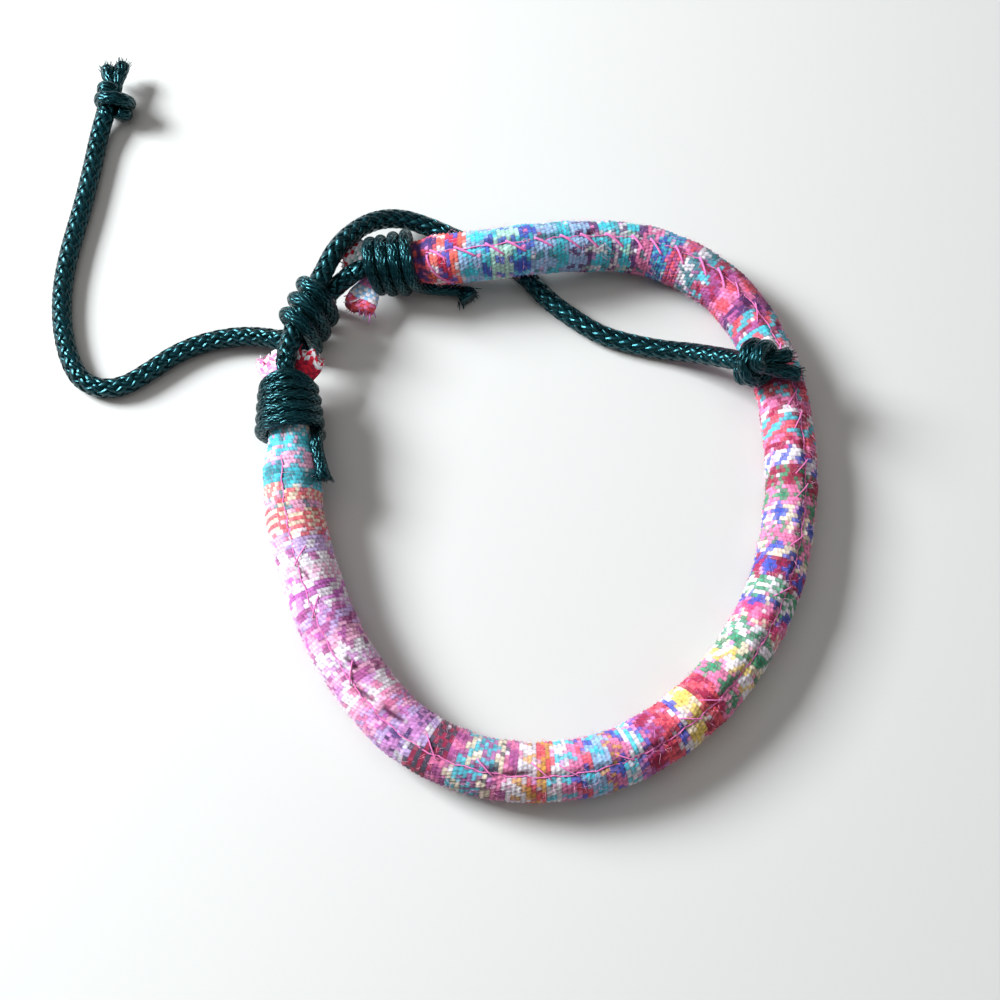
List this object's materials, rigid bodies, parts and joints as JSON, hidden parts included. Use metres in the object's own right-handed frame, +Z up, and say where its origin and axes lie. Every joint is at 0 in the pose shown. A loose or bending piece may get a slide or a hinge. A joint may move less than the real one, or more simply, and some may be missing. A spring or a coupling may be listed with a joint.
{
  "type": "friendship bracelet",
  "caption": "Adjustable friendship bracelet: a padded tube of woven cloth in an open loop, bound with waxed cord, closed by a sliding knot on two drawcords.",
  "frame": {"origin": "middle of the loop's footprint, on the surface that the bracelet lies on", "axes": "+Z up out of the loop's plane, +Y towards the sliding knot's side of the loop, +X to the right with +Y away from the viewer"},
  "size_m": [0.0846, 0.0865, 0.0096],
  "materials": {
    "woven_cloth": "plain-woven cotton in narrow coloured bands, matt, slightly fuzzy",
    "waxed_cord": "braided waxed cotton, near black with a teal sheen"
  },
  "bodies": {
    "root": {"woven_sleeve": "woven_cloth", "left_whipping": "waxed_cord", "far_whipping": "waxed_cord", "inner_cord": "waxed_cord", "outer_cord": "waxed_cord", "sliding_knot": "waxed_cord", "inner_stopper_knot": "waxed_cord", "outer_stopper_knot": "waxed_cord"}
  },
  "joints": []
}
